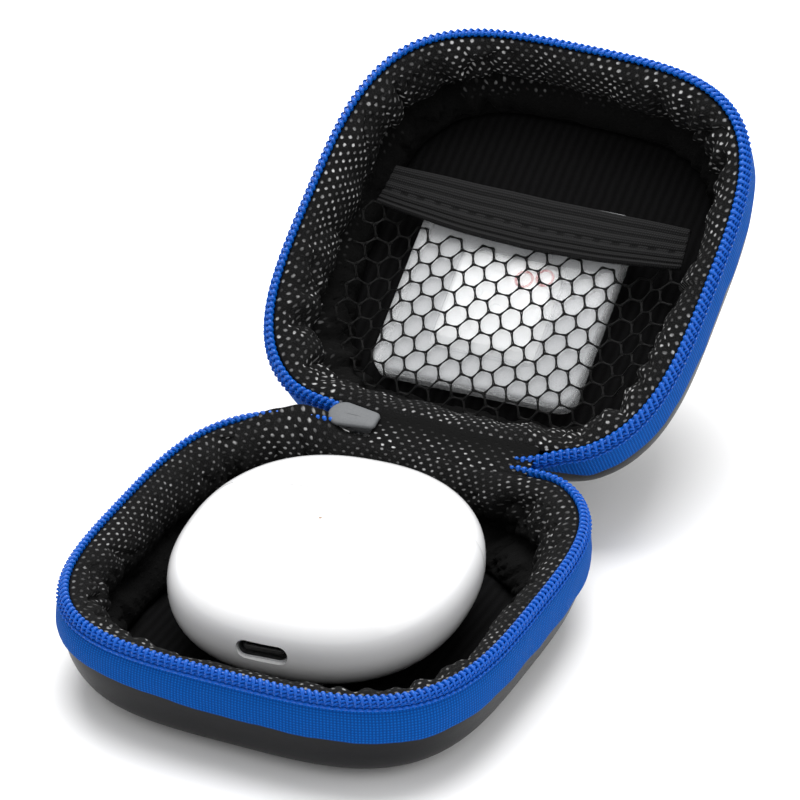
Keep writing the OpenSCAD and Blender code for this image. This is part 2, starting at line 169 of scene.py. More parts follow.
def tell(piece, body=None, node=None):
    """Hides the CAD node that a piece replaces and attaches the piece to the body it moves with."""
    if node:
        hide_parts(node)
    if body:
        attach(piece, body)
    return piece


def grid_faces(rows, cols, close_rows=False, close_cols=False, flip=False):
    """Quads over a grid of rows x cols points."""
    faces = []
    for i in range(rows if close_rows else rows - 1):
        for j in range(cols if close_cols else cols - 1):
            a, b = i * cols + j, i * cols + (j + 1) % cols
            c, d = ((i + 1) % rows) * cols + (j + 1) % cols, ((i + 1) % rows) * cols + j
            faces.append((d, c, b, a) if flip else (a, b, c, d))
    return faces


def caps(rings, count, flip=False):
    """The two end faces of a stack of rings, each of so many points."""
    first, last = tuple(range(count)), tuple(range((rings - 1) * count, rings * count))
    return [first, last[::-1]] if flip else [first[::-1], last]


def grid_uv(along, across):
    """Texture coordinates of a grid from its distances along and across."""
    return np.stack(np.broadcast_arrays(np.asarray(along)[:, None], np.asarray(across)[None]), -1)


def arc_length(points):
    """Distance along a path, starting at 0."""
    step = np.linalg.norm(np.diff(points, axis=0), axis=1)
    return np.concatenate([[0], np.cumsum(step)])


def full_turn(count):
    """So many angles, evenly round a circle."""
    return np.arange(count) * TAU / count


def circle(x, y, z, r, count):
    """Points of a level circle."""
    a = full_turn(count)
    return np.column_stack([x + r * np.cos(a), y + r * np.sin(a), np.full(count, z)])


def spline(points, per=6, closed=False):
    """Catmull-Rom curve through points, with so many steps between two of them."""
    p = np.asarray(points, float)
    n = len(p)
    out = []
    for i in range(n if closed else n - 1):
        if closed:
            a, b, c, d = p[(i - 1) % n], p[i], p[(i + 1) % n], p[(i + 2) % n]
        else:
            a, b, c, d = p[max(i - 1, 0)], p[i], p[i + 1], p[min(i + 2, n - 1)]
        for k in range(per):
            t = k / per
            out.append(0.5 * (2 * b + (c - a) * t + (2 * a - 5 * b + 4 * c - d) * t * t
                              + (3 * b - a - 3 * c + d) * t ** 3))
    if not closed:
        out.append(p[-1])
    return np.array(out)


def tube(path, radius, sides=6, closed=False):
    """Points and faces of a round tube along a path; radius may be one per point."""
    path = np.asarray(path, float)
    n = len(path)
    if closed:
        tangent = np.roll(path, -1, 0) - np.roll(path, 1, 0)
    else:
        tangent = np.gradient(path, axis=0)
    tangent /= np.linalg.norm(tangent, axis=1)[:, None] + 1e-12
    side = np.cross(tangent[0], [0.0, 0.0, 1.0])
    if np.linalg.norm(side) < 0.1:
        side = np.cross(tangent[0], [1.0, 0.0, 0.0])
    side /= np.linalg.norm(side)
    radius = np.broadcast_to(np.asarray(radius, float), (n,))
    rings = np.zeros((n, sides, 3))
    angle = full_turn(sides)
    for i in range(n):
        side = side - tangent[i] * (side @ tangent[i])
        side /= np.linalg.norm(side) + 1e-12
        up = np.cross(tangent[i], side)
        rings[i] = path[i] + radius[i] * (np.cos(angle)[:, None] * side + np.sin(angle)[:, None] * up)
    faces = grid_faces(n, sides, close_rows=closed, close_cols=True)
    if not closed:
        faces += caps(n, sides)
    return rings.reshape(-1, 3), faces


class Heap:
    """Collects many small meshes into one."""

    def __init__(self):
        self.verts, self.faces, self.count = [], [], 0

    def add(self, verts, faces):
        verts = np.asarray(verts).reshape(-1, 3)
        self.faces += [tuple(i + self.count for i in f) for f in faces]
        self.verts.append(verts)
        self.count += len(verts)

    def make(self, name, mat, place=np.asarray, shift=(0, 0, 0)):
        """One object of them all, shifted and then put in place."""
        return make(name, place(np.concatenate(self.verts) + shift), self.faces, mat)


def ball(center, axes, sides=8, rows=5):
    """A small closed ellipsoid; axes is a 3 x 3 array of half axes."""
    axes = np.asarray(axes, float)
    verts = [center + axes[2]]
    for i in range(1, rows):
        a = math.pi * i / rows
        for k in range(sides):
            b = TAU * k / sides
            verts.append(center + axes[0] * math.sin(a) * math.cos(b)
                         + axes[1] * math.sin(a) * math.sin(b) + axes[2] * math.cos(a))
    verts.append(center - axes[2])
    faces = [(0, 1 + k, 1 + (k + 1) % sides) for k in range(sides)]
    for i in range(rows - 2):
        for k in range(sides):
            a, b = 1 + i * sides + k, 1 + i * sides + (k + 1) % sides
            faces.append((a, a + sides, b + sides, b))
    last, base = len(verts) - 1, 1 + (rows - 2) * sides
    faces += [(last, base + (k + 1) % sides, base + k) for k in range(sides)]
    return np.array(verts), faces


def noise(x, y, seed=0, octaves=3):
    """Smooth repeatable waves that look uneven, from sums of sines."""
    r = np.random.default_rng(seed)
    out = 0.0
    for k in range(octaves * 3):
        f = 2.0 ** (k // 3)
        ax, ay, ph = r.normal(0, 1, 2).tolist() + [r.uniform(0, TAU)]
        out = out + np.sin(f * (ax * x + ay * y) + ph) / f
    return out / 3


# ---- materials ----


class Value:
    """An output in a shader's node tree; numbers can be reckoned with as usual."""

    def __init__(self, nodes, socket):
        self.nodes, self.socket = nodes, socket

    def __add__(self, other):
        return self.nodes.math("ADD", self, other)

    def __sub__(self, other):
        return self.nodes.math("SUBTRACT", self, other)

    def __mul__(self, other):
        return self.nodes.math("MULTIPLY", self, other)

    def __truediv__(self, other):
        return self.nodes.math("DIVIDE", self, other)


def rgba(color):
    """A colour with full alpha; a single number is a grey."""
    return (*color, 1.0) if isinstance(color, tuple) else (color, color, color, 1.0)


class Nodes:
    """A short way to write a shader's node tree."""

    def __init__(self, name):
        self.mat = bpy.data.materials.new(name)
        self.mat.use_nodes = True
        self.tree = self.mat.node_tree
        self.bsdf = self.tree.nodes["Principled BSDF"]

    def put(self, socket, value):
        if isinstance(value, Value):
            self.tree.links.new(value.socket, socket)
        else:
            socket.default_value = value

    def add(self, kind, *inputs, **named):
        node = self.tree.nodes.new(kind)
        for key, value in [*enumerate(inputs), *named.items()]:
            self.put(node.inputs[key], value)
        return node

    def math(self, op, *values):
        node = self.add("ShaderNodeMath", *values)
        node.operation = op
        return Value(self, node.outputs[0])

    def wave(self, value, period):
        return self.math("SINE", value * (TAU / period))

    def object_mm(self):
        """The point in the row frame, in millimetres."""
        coord = self.add("ShaderNodeTexCoord")
        scale = self.add("ShaderNodeVectorMath", Value(self, coord.outputs["Object"]))
        scale.operation = "SCALE"
        self.put(scale.inputs["Scale"], 1 / MM)
        return Value(self, scale.outputs[0])

    def uv_mm(self):
        """The cloth's own coordinates: as a vector, along it and across it."""
        node = self.add("ShaderNodeUVMap")
        node.uv_map = "weave"
        vector = Value(self, node.outputs[0])
        split = self.add("ShaderNodeSeparateXYZ", vector)
        return vector, Value(self, split.outputs[0]), Value(self, split.outputs[1])

    def noise(self, vector, scale, detail=2.0, rough=0.5):
        node = self.add("ShaderNodeTexNoise", Vector=vector, Scale=scale, Detail=detail, Roughness=rough)
        return Value(self, node.outputs["Fac"])

    def mix(self, share, a, b):
        node = self.add("ShaderNodeMix")
        node.data_type = "RGBA"
        self.put(node.inputs["Factor"], share)
        colors = [socket for socket in node.inputs if socket.type == "RGBA"]
        for socket, color in zip(colors, (a, b)):
            self.put(socket, color if isinstance(color, Value) else rgba(color))
        return Value(self, next(socket for socket in node.outputs if socket.type == "RGBA"))

    def ramp(self, value, low, high):
        """0 up to low and 1 from high on, with a soft step between."""
        node = self.add("ShaderNodeMapRange", Value=value)
        self.put(node.inputs["From Min"], low)
        self.put(node.inputs["From Max"], high)
        node.interpolation_type = "SMOOTHSTEP"
        return Value(self, node.outputs[0])

    def bump(self, height, strength, distance_mm):
        node = self.add("ShaderNodeBump", Height=height, Strength=strength, Distance=distance_mm * MM)
        self.put(self.bsdf.inputs["Normal"], Value(self, node.outputs[0]))

    def finish(self, color, rough, spec=0.5, coat=0.0, sheen=0.0, metal=0.0):
        for key, value in (
            ("Base Color", color), ("Roughness", rough), ("Specular IOR Level", spec), ("Coat Weight", coat),
            ("Coat Roughness", 0.08), ("Sheen Weight", sheen), ("Sheen Roughness", 0.4), ("Metallic", metal),
        ):
            self.put(self.bsdf.inputs[key], value)
        return self.mat


def shell_material():
    n = Nodes("shell_skin")
    p = n.object_mm()
    grain = n.noise(p, 5.0, 3.0, 0.6)
    n.bump(grain, 0.25, 0.05)
    return n.finish(n.mix(n.noise(p, 1.1), (0.002, 0.002, 0.0025), (0.006, 0.006, 0.007)),
                    grain * 0.12 + 0.34, spec=0.2)


def knit_material(name, pitch, row, dot, bright, shade_depth):
    """Black warp knit with a staggered lattice of small shiny dots; further down the cloth the dots and
    threads fade to black as painted shade.
    """
    n = Nodes(name)
    vector, u, depth = n.uv_mm()
    line = (depth + n.noise(vector, 0.5, 1.0) * 0.35) / row
    odd = n.math("MODULO", n.math("ABSOLUTE", n.math("FLOOR", line)), 2.0)
    column = (u + n.noise(vector, 0.35) * 0.5) / pitch + odd * 0.5
    across = (n.math("FRACT", column) - 0.5) * pitch
    down = (n.math("FRACT", line) - 0.5) * (row * 1.7)
    reach = n.math("SQRT", across * across + down * down) + n.noise(vector, 3.0) * 0.26
    spot = n.ramp(reach, dot + 0.22, dot - 0.06)
    patch = n.ramp(n.noise(vector, 0.13, 3.0, 0.75), 0.42, 0.62)
    each = n.ramp(n.noise(vector, 0.9, 1.0), 0.28, 0.66)
    # painted shade: dots and threads darken to black with depth down the cloth
    painted_shade = n.ramp(depth + n.noise(vector, 0.12) * 5.0, shade_depth + 4.0, shade_depth - 2.0)
    light = spot * painted_shade * (patch * 0.88 + 0.12) * (each * 0.7 + 0.3)
    thread = n.ramp(n.noise(vector, 4.0, 4.0, 0.8), 0.45, 0.8)
    dark = n.mix(thread * painted_shade, 0.0008, (0.024, 0.024, 0.025))
    n.bump(spot * 0.7 + thread * 0.6, 0.7, 0.22)
    return n.finish(n.mix(light, dark, bright), light * -0.3 + 0.85, spec=0.12)


def felt_material():
    """Black ribbed felt with a little lint."""
    n = Nodes("floor_felt")
    vector, u, _ = n.uv_mm()
    ribs = n.wave(u + n.noise(vector, 0.5, 1.0) * 0.5, TAU / 3.6)
    level = ribs * 0.14 + n.noise(vector, 5.0, 4.0, 0.8) * 0.8
    lint = n.ramp(n.noise(vector, 2.6, 4.0, 0.75), 0.73, 0.8)
    n.bump(level, 0.8, 0.25)
    felt = n.mix(level, 0.0008, (0.009, 0.009, 0.0095))
    return n.finish(n.mix(lint * 0.2, felt, 0.25), 0.95, spec=0.06)


def tape_material():
    """Blue knitted tape: wales along it and courses across."""
    n = Nodes("zip_tape_knit")
    vector, u, v = n.uv_mm()
    wale = n.wave(u, 0.55)
    course = n.wave(v + wale * 0.05, 0.5)
    level = (wale + 1.0) * (course + 1.2) * 0.16 + n.noise(vector, 7.0, 3.0, 0.7) * 0.5
    n.bump(level, 0.75, 0.16)
    return n.finish(n.mix(level, (0.0002, 0.020, 0.13), (0.0008, 0.118, 0.50)), 0.8, spec=0.08)


def nylon_material():
    n = Nodes("zip_coil_nylon")
    p = n.object_mm()
    fine = n.noise(p, 2.5)
    n.bump(n.noise(p, 9.0, 1.0), 0.1, 0.03)
    color = n.mix(fine, (0.0002, 0.060, 0.36), (0.0006, 0.112, 0.53))
    return n.finish(color, fine * 0.12 + 0.22, spec=0.35)


def thread_material():
    n = Nodes("stitch_thread")
    fine = n.noise(n.object_mm(), 8.0)
    n.bump(fine, 0.4, 0.05)
    return n.finish(n.mix(fine, (0.0003, 0.045, 0.28), (0.0008, 0.10, 0.5)), 0.6, spec=0.15)


def elastic_material():
    """Black elastic webbing: fine slanted ribs crossed by rows."""
    n = Nodes("elastic_webbing")
    vector, u, v = n.uv_mm()
    rib, rows = n.wave(u + v * 0.35, 0.42), n.wave(v, 0.42)
    level = (rib + 1.0) * (rows + 1.1) * 0.2 + n.noise(vector, 6.0, 3.0, 0.7) * 0.3
    n.bump(level, 1.0, 0.22)
    return n.finish(n.mix(level, 0.001, (0.024, 0.024, 0.025)), 0.8, spec=0.15)


def plain_material(name, dark, light, rough, scale=2.0, bump=0.1, depth=0.03, **finish):
    """A moulded or metal surface with a little variation in colour, gloss and height."""
    n = Nodes(name)
    p = n.object_mm()
    share = n.noise(p, scale, 3.0, 0.6)
    n.bump(n.noise(p, scale * 3), bump, depth)
    return n.finish(n.mix(share, dark, light), share * 0.1 + rough, **finish)


def clear_material():
    n = Nodes("clear_plastic")
    p = n.object_mm()
    scuff = n.noise(p, 0.6, 4.0, 0.7)
    n.bump(n.noise(p, 0.25), 0.12, 0.2)
    n.put(n.bsdf.inputs["Alpha"], 0.26)
    n.put(n.bsdf.inputs["IOR"], 1.49)
    return n.finish(n.mix(scuff, (0.86, 0.88, 0.9), (0.97, 0.98, 0.99)), scuff * 0.14, spec=0.6)


def floor_material():
    n = Nodes("studio_floor")
    share = n.noise(n.object_mm(), 0.01)
    return n.finish(n.mix(share, (0.93, 0.93, 0.935), (0.945, 0.945, 0.95)), 0.6, spec=0.2)


SHELL = shell_material()
# Three copies of the same knit: the dots' own white is set dimmest in the base, brighter on the lid and
# brightest on the fold as painted light, and each starts its painted shade at its own depth
KNIT = knit_material("knit_lining", pitch=1.9, row=0.85, dot=0.35, bright=0.34, shade_depth=8.0)
LID_KNIT = knit_material("lid_knit_lining", pitch=1.9, row=0.85, dot=0.36, bright=0.5, shade_depth=11.0)
FOLD_KNIT = knit_material("fold_knit", pitch=2.1, row=0.95, dot=0.34, bright=0.8, shade_depth=7.5)
FELT = felt_material()
TAPE = tape_material()
NYLON = nylon_material()
THREAD = thread_material()
ELASTIC = elastic_material()
NET = plain_material("net_thread", 0.001, 0.004, 0.5, 6.0, 0.3, 0.05, spec=0.12)
CLOTH = plain_material("hinge_cloth", (0.008, 0.008, 0.009), (0.02, 0.02, 0.021), 0.8, 6.0, 0.5, 0.1,
                       spec=0.25)
SLIDER = plain_material("slider_metal", (0.08, 0.084, 0.09), (0.135, 0.14, 0.145), 0.55, 3.0, 0.3, 0.05,
                        spec=0.35)
CLEAR = clear_material()
WHITE = plain_material("case_gloss_white", (0.87, 0.87, 0.875), (0.89, 0.89, 0.895), 0.12, 0.4, 0.02, 0.02,
                       spec=0.5, coat=0.3)
FROSTED = plain_material("frosted_flange", (0.19, 0.2, 0.212), (0.35, 0.36, 0.372), 0.35, 0.35, 0.2, 0.1)
MATTE_WHITE = plain_material("insert_white", 0.86, 0.91, 0.45, 1.5, 0.15, 0.05)
RED = plain_material("red_print", (0.55, 0.02, 0.02), (0.7, 0.05, 0.04), 0.5, 3.0)
PORT_DARK = plain_material("port_dark", 0.01, 0.02, 0.4, 3.0)
STEEL = plain_material("steel", (0.5, 0.51, 0.52), (0.62, 0.63, 0.64), 0.25, 3.0, metal=1.0)
MAGNET = plain_material("magnet_plate", (0.3, 0.3, 0.31), (0.4, 0.4, 0.41), 0.3, 3.0, metal=1.0)
GOLD = plain_material("gold_plate", (0.65, 0.42, 0.12), (0.75, 0.5, 0.18), 0.25, 3.0, metal=1.0)
BOARD = plain_material("board_mask", (0.01, 0.1, 0.035), (0.02, 0.16, 0.05), 0.4)
WRAP = plain_material("battery_wrap", (0.25, 0.3, 0.36), (0.33, 0.38, 0.44), 0.35, metal=0.6)
TIP = plain_material("tip_silicone", (0.62, 0.62, 0.63), (0.72, 0.72, 0.73), 0.5, sheen=0.2)
GUIDE = plain_material("light_guide", (0.22, 0.13, 0.07), (0.32, 0.2, 0.12), 0.3, 3.0)

# ---- carrying case: one half, placed twice ----

RING = np.linspace(0, TAU, 433)[:-1]


def once_round(o):
    """Distances along the rim moved out by o, at the angles of RING and back at its start."""
    return arc_length(rim(np.append(RING, 0), o, 0))


SHELL_SECTION = [
    (-9.5, -18.6), (-7.6, -18.58), (-5.6, -18.15), (-3.7, -17.2), (-2.0, -15.6), (-0.7, -13.3),
    (0.15, -10.8), (0.45, -8.6), (0.35, -5.6), (0.0, -3.0), (-0.6, -2.6), (-1.3, -3.0),
    (-1.35, -6.0), (-1.5, -9.6), (-2.5, -12.8), (-4.0, -15.2), (-5.9, -16.75), (-9.5, -17.1),
]


def shell_piece(name, place):
    """Moulded shell: its section swept round the outline, lower and set in where the hinge passes."""
    section = spline(SHELL_SECTION, 5)
    o, z = section.T[:, None]
    share = hinge_share(RING)[:, None]
    inset = BACK_INSET * share * np.clip((z + 17.5) / 4.0, 0, 1)
    low = z - 2.4 * share * np.clip((z + 5.4) / 2.8, 0, 1)
    count = len(section)
    uv = grid_uv(once_round(0)[:-1], arc_length(section))
    faces = grid_faces(len(RING), count, close_rows=True)
    faces += [tuple(i * count for i in range(len(RING))),
              tuple(i * count + count - 1 for i in reversed(range(len(RING))))]
    return make(name, place(rim(RING[:, None], o - inset, low, back=0.0)), faces, SHELL, uv)


def looseness(t):
    """1 where the lining hangs loose by the fold, 0 at the far side where it is tight."""
    return ((1 + np.sin(t)) / 2) ** 2


def lining_piece(name, place, seed, over):
    """Gathered knit from zip to floor pad: two soft rolls and a crease; over lifts its edge by the slider."""
    t = RING[:, None]
    tight = np.array([
        (-0.85, -0.95), (-1.7, -1.1), (-3.1, -2.1), (-4.5, -4.6), (-4.9, -7.2), (-4.7, -9.3), (-6.1, -11.4),
        (-6.7, -13.6), (-6.6, -15.2), (-7.0, -15.85),
    ])
    loose = np.outer((0, 0, 0.1, 0.3, 0.45, 0.5, 0.7, 0.9, 1, 1), (1, 0))
    top = np.stack([spline(tight - 5.0 * slack * loose, 8) for slack in looseness(RING)])
    count = top.shape[1]
    depth = np.linspace(0, 1, count)[None]
    corner = np.abs(np.sin(2 * t)) ** 2.5
    crease_at = 0.56 + 0.06 * np.sin(3 * t + seed) + 0.03 * np.sin(11 * t + 2 * seed)
    crease = np.exp(-((depth - crease_at) / 0.055) ** 2) * (0.55 + 0.45 * np.sin(4 * t + seed))
    rolls = np.sin(math.pi * np.clip(depth / crease_at, 0, 1)) + np.sin(
        math.pi * np.clip((depth - crease_at) / (1 - crease_at), 0, 1))
    gathers = np.sin(t * 38 + 4 * np.sin(t * 5 + seed) + 3 * depth * np.sin(t * 6 + seed))
    fine = noise(t * 22, depth * 5, seed + 1)
    pucker = noise(t * 9, depth * 2.4, seed) * 0.8 + gathers * (0.10 + 0.55 * corner) + 0.25 * fine
    ridge = 1 - np.abs(np.sin(depth * 5 + 2.8 * noise(t * 5, depth * 1.5, seed + 3)))
    inward = rolls * 0.95 + pucker * 0.75 * np.sin(math.pi * depth) ** 0.5 - crease * 2.3
    crumple = 1 - np.abs(np.sin(6 * noise(t * 13, depth * 3.4, seed + 5)))
    inward = inward - ridge ** 4 * (0.35 + corner) * 1.5 * np.sin(math.pi * depth)
    inward = inward - crumple ** 3 * (0.25 + corner) * 0.9 * np.sin(math.pi * depth)
    out = np.minimum(top[:, :, 0] - inward * np.clip(depth * 6, 0, 1), -0.8)
    z = top[:, :, 1] + 0.35 * pucker * np.sin(math.pi * depth)
    share = hinge_share(t)
    out = out - BACK_INSET * share * (1 - depth) ** 1.5
    z = z - 1.2 * share * (1 - depth) ** 3
    degrees = np.degrees(t)
    edge = over * np.clip(1 - depth * 4, 0, 1)
    lift = edge * smoothstep((degrees - 110) / 8) * smoothstep((138 - degrees) / 14)
    by_slider = edge * smoothstep((degrees - 113) / 3) * smoothstep((127 - degrees) / 6)
    out, z = out + 1.4 * lift + 0.7 * by_slider, z + 1.3 * lift + 1.1 * by_slider
    uv = grid_uv(once_round(0)[:-1], arc_length(top[len(RING) // 2]))
    section = np.concatenate([rim(t, out, z, back=0.0), rim(t, out + 0.35, z - 0.1, back=0.0)[:, ::-1]], 1)
    faces = grid_faces(len(RING), 2 * count, close_rows=True, close_cols=True, flip=True)
    return make(name, place(section), faces, KNIT if over else LID_KNIT, np.concatenate([uv, uv[:, ::-1]], 1))


def floor_piece(name, place, seed):
    """Soft felt pad with a rounded edge."""
    pts = []
    for s in np.linspace(0, 1, 22) ** 0.8:
        ring = rim(RING, -(1 - s) * (HALF_W - 0.5) - 6.7 * s, 0)
        edge = 0.5 * max(0.0, (s - 0.93) / 0.07) ** 2
        ring[:, 2] = FLOOR_TOP + 0.25 * (1 - s ** 2) - edge + 0.07 * noise(*ring[:, :2].T * 0.25, seed)
        pts.append(ring)
    pts.append(ring * [1, 1, 0] + [0, 0, FLOOR_TOP - 0.78])
    faces = grid_faces(len(pts), len(RING), close_cols=True) + caps(len(pts), len(RING))
    return make(name, place(pts), faces, FELT, np.array(pts)[..., :2])


ZIP_T = np.linspace(math.pi - ZIP_END, math.pi - ZIP_END + math.pi + 2 * ZIP_END, 721)
ZIP_RUN = arc_length(rim(ZIP_T, 0, 0))
ZIP_LENGTH = ZIP_RUN[-1]


def zip_angle(s):
    """Angle at the distance s along the zip, from its left end."""
    return np.interp(s, ZIP_RUN, ZIP_T)


TAPE_SECTION = [
    (-0.28, -0.55), (0.05, -0.75), (0.42, -1.5), (0.75, -2.35), (0.86, -2.75), (1.12, -3.4), (1.36, -4.6),
    (1.46, -5.9), (1.46, -7.4), (1.38, -8.35), (1.12, -8.62), (0.86, -8.4), (0.85, -7.0), (0.78, -5.2),
    (0.45, -3.2), (0.1, -2.0), (-0.2, -1.1), (-0.4, -0.7),
]


def tape_piece(name, place, seed, bulge):
    """Knitted zip tape wrapped down over the shell's edge, with tucked ends."""
    section = spline(TAPE_SECTION, 4, closed=True)
    steps = 380
    s = np.linspace(0, ZIP_LENGTH, steps)
    t = zip_angle(s)[:, None]
    wave = 0.10 * noise(t * 14, section[None, :, 1] * 0.25, seed)
    section[:, 0] = np.where(section[:, 0] > 0.4, 0.4 + (section[:, 0] - 0.4) * bulge, section[:, 0])
    out = section[None, :, 0] + wave * np.clip(-(section[None, :, 1] + 2.2) / 3, 0, 1)
    narrow = 1 - 0.16 * np.exp(-((np.degrees(t) - 235) / 32) ** 2) + 0.035 * noise(t * 9, 0 * t, seed + 1)
    z = np.where(section[None, :, 1] < -2.2, -2.2 + (section[None, :, 1] + 2.2) * narrow, section[None, :, 1])
    near = np.minimum(s, ZIP_LENGTH - s)[:, None]
    full = 0.12 + 0.88 * smoothstep(near / 11.0)
    z = np.where(z < -2.0, -2.0 + (z + 2.0) * full, z)
    out = out * (0.55 + 0.45 * full)
    pts = drawn_in(rim(t, out, z), (ZIP_LENGTH - s)[:, None], place)
    faces = grid_faces(steps, len(section), close_cols=True) + caps(steps, len(section))
    return make(name, place(pts), faces, TAPE, grid_uv(s, arc_length(section)))


PITCH = 1.2
WIRE = 0.33
TURN_STEPS = 14
COIL_MIDDLE = np.array([0.27, -1.24])
COIL_ALONG = np.array([-0.40, 0.917])
COIL_OUTWARD = np.array([0.917, 0.40])
ZIP_STOP = 0.3


def drawn_in(points, left, place):
    """The right end of the zip, so many millimetres before its end, is drawn to the sewn stop."""
    near = 1 - smoothstep(np.asarray(left, float) / 9.0)
    shift = (0, 2.3, 0) if place is to_lid else (0, 0, -0.7)
    return points + near[..., None] * shift


def coil_points(s, a, b, place):
    """Points of the coil's section plane: a towards the heads, b outward."""
    o, z = (COIL_MIDDLE + np.multiply.outer(a, COIL_ALONG) + np.multiply.outer(b, COIL_OUTWARD)).T
    return drawn_in(rim(zip_angle(s), o, z), ZIP_LENGTH - np.asarray(s, float), place)


def coil_piece(name, place):
    """Nylon coil with a widened head on each turn; the lid's lies half a turn on."""
    turns = int(ZIP_LENGTH / PITCH)
    first = ZIP_STOP + (PITCH / 2 if place is to_lid else 0)
    pitch = (ZIP_LENGTH - ZIP_STOP - first) / turns
    phase = np.arange(turns * TURN_STEPS + 1) * TAU / TURN_STEPS
    path = coil_points(first + phase / TAU * pitch, 0.86 * np.cos(phase), 0.40 * np.sin(phase), place)
    heap = Heap()
    heap.add(*tube(place(path), WIRE * (1 + 0.12 * np.cos(phase)) * MM, 7))
    core = np.arange(ZIP_STOP, ZIP_LENGTH - ZIP_STOP, 1.0)
    for along, radius in ((0.45, 0.30), (-0.15, 0.34), (-0.75, 0.34), (-1.25, 0.34)):
        heap.add(*tube(place(coil_points(core, along, 0.0, place)), radius * MM, 6))
    for at in first + (np.arange(turns) + 0.02) * pitch:
        before, after = coil_points(np.array([at - 0.05, at + 0.05]), 0.0, 0.0, place)
        forward = (after - before) / np.linalg.norm(after - before)
        center = coil_points(at, 0.92, 0.02, place)
        up = coil_points(at, 1.92, 0.02, place) - center
        head = np.array([forward * 0.40, np.cross(forward, up) * 0.42, up * 0.30])
        heap.add(*ball(place(center), place(center + head) - place(center), 10, 6))
    return heap.make(name, NYLON)


def stitch_piece(name, place):
    """Two rows of thread that hold the coil, and one at its root."""
    s = np.arange(0.4, ZIP_LENGTH - 0.4, PITCH / 6)
    turn = s / PITCH * TAU
    wave = np.cos(turn)
    heap = Heap()
    for a, b, r in ((0.12, 0.60, 0.15), (-0.42, 0.58, 0.15), (-1.15, 0.42, 0.17)):
        path = coil_points(s, a + 0.09 * np.sin(turn), b + 0.14 * wave, place)
        heap.add(*tube(place(path), r * MM * (1 + 0.35 * wave), 6))
    return heap.make(name, THREAD)


def half(body, place, seed, over, bulge):
    """Every soft and moulded piece of one half of the carrying case."""
    shell = tell(shell_piece(f"{body}_shell_skin", place), body, f"{body}_shell")
    lining = lining_piece(f"{body}_gathered_lining", place, seed, over)
    tell(lining, body, f"{body}_side_lining")
    pad = tell(floor_piece(f"{body}_felt_pad", place, seed + 1), body, f"{body}_floor_pad")
    tape = tape_piece(f"{body}_knitted_tape", place, seed + 2, bulge)
    tell(tape, body, f"{body}_zip_tape")
    tell(coil_piece(f"{body}_nylon_coil", place), body, f"{body}_zip_coil")
    tell(stitch_piece(f"{body}_coil_stitching", place), body)
    once_round(-4)[-1] * MM
    zip_length = arc_length(rim(ZIP_T, 1, 0))[-1] * MM
    if body == "base":
        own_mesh(lining)


half("base", to_base, 11, over=1.0, bulge=1.0)
half("lid", to_lid, 23, over=0.0, bulge=0.45)

# ---- pocket: elastic band and net, in lid coordinates ----

BAND_DEPTH = 8.6
BAND_HALF = 28.6


def band_edges(x):
    """Far and near edge of the elastic band in lid coordinates: the near edge bows towards the fold."""
    bow = 1 - (x / BAND_HALF) ** 2
    return -13.4 + 0.4 * bow, -5.6 + 2.6 * bow


def band_relief(v):
    """Height of the webbing's ribs over its width, v from 0 at the far edge to 1 at the near edge."""
    ribs = ((0.0, 0.2), (0.2, 0.4), (0.4, 0.58), (0.64, 0.77), (0.77, 0.89), (0.89, 1.0))
    for a, b in ribs:
        if a <= v <= b:
            return 0.42 * math.sin(math.pi * (v - a) / (b - a)) ** 0.6
    return -0.05


def band_piece():
    """Elastic webbing: three broad ribs, a stitched groove and three narrow ribs, its ends sewn in."""
    cols, rows = 190, 92
    x = np.linspace(-BAND_HALF, BAND_HALF, cols)[:, None]
    out = np.abs(x) / BAND_HALF
    far, near = band_edges(x)
    v = np.linspace(0, 1, rows)
    level = -BAND_DEPTH - 0.5 * out ** 3 - 0.25 * noise(x * 0.14, 0 * x, 5)
    stitch = (np.abs(v - 0.61) < 0.03) * (np.sin(x * TAU / 3.4) > -0.25)
    relief = np.array([band_relief(k) for k in v]) + 0.26 * stitch + 0.9 * (v - 0.5) ** 2
    top = np.stack([x + 0.9 * (v - 0.5) * np.sign(x) * out ** 8, far + (near - far) * v, level + relief], -1)
    under = top.copy()
    under[:, :, 2] = level - 0.35
    pts = np.concatenate([top, under[:, ::-1]], 1)
    count = 2 * rows
    uv = np.stack([pts[:, :, 0], np.broadcast_to(np.concatenate([v, v[::-1]]) * 8.2, (cols, count))], -1)
    faces = grid_faces(cols, count, close_cols=True, flip=True) + caps(cols, count, flip=True)
    return make("elastic_pocket_band", to_lid(pts), faces, ELASTIC, uv)


def net_height(x, y):
    """Height of the net, counted from the zip line: flat over the clear box, sagging beside it."""
    beside = np.clip((np.abs(x + 0.7) - 18.5) / 9.0, 0, 1)
    below = np.clip((y - 24.5) / 6.0, 0, 1)
    sag = 1.6 * np.sin(beside * math.pi) - 1.1 * beside ** 3 + 1.2 * below
    return -10.05 - sag + 0.12 * noise(x * 0.3, y * 0.3, 9)


def in_pocket(p):
    inset = -6.2 - 3.4 * float(looseness(math.atan2(p[1] / HALF_D, p[0] / HALF_W)))
    r = abs(p[0] / (HALF_W + inset)) ** CORNER_N + abs(p[1] / (HALF_D + inset)) ** CORNER_N
    return r < 1 and p[1] > band_edges(p[0])[1] - 0.9


def pulled(knot):
    """A knot of the even mesh, where the stretched net really holds it."""
    q = np.array(turned(knot[0] * 0.96, knot[1] * 1.07, 0.05))
    q[0] += 0.45 * noise(q[0] * 0.16, q[1] * 0.16, 31)
    q[1] += 0.45 * noise(q[0] * 0.16, q[1] * 0.16, 37)
    return q


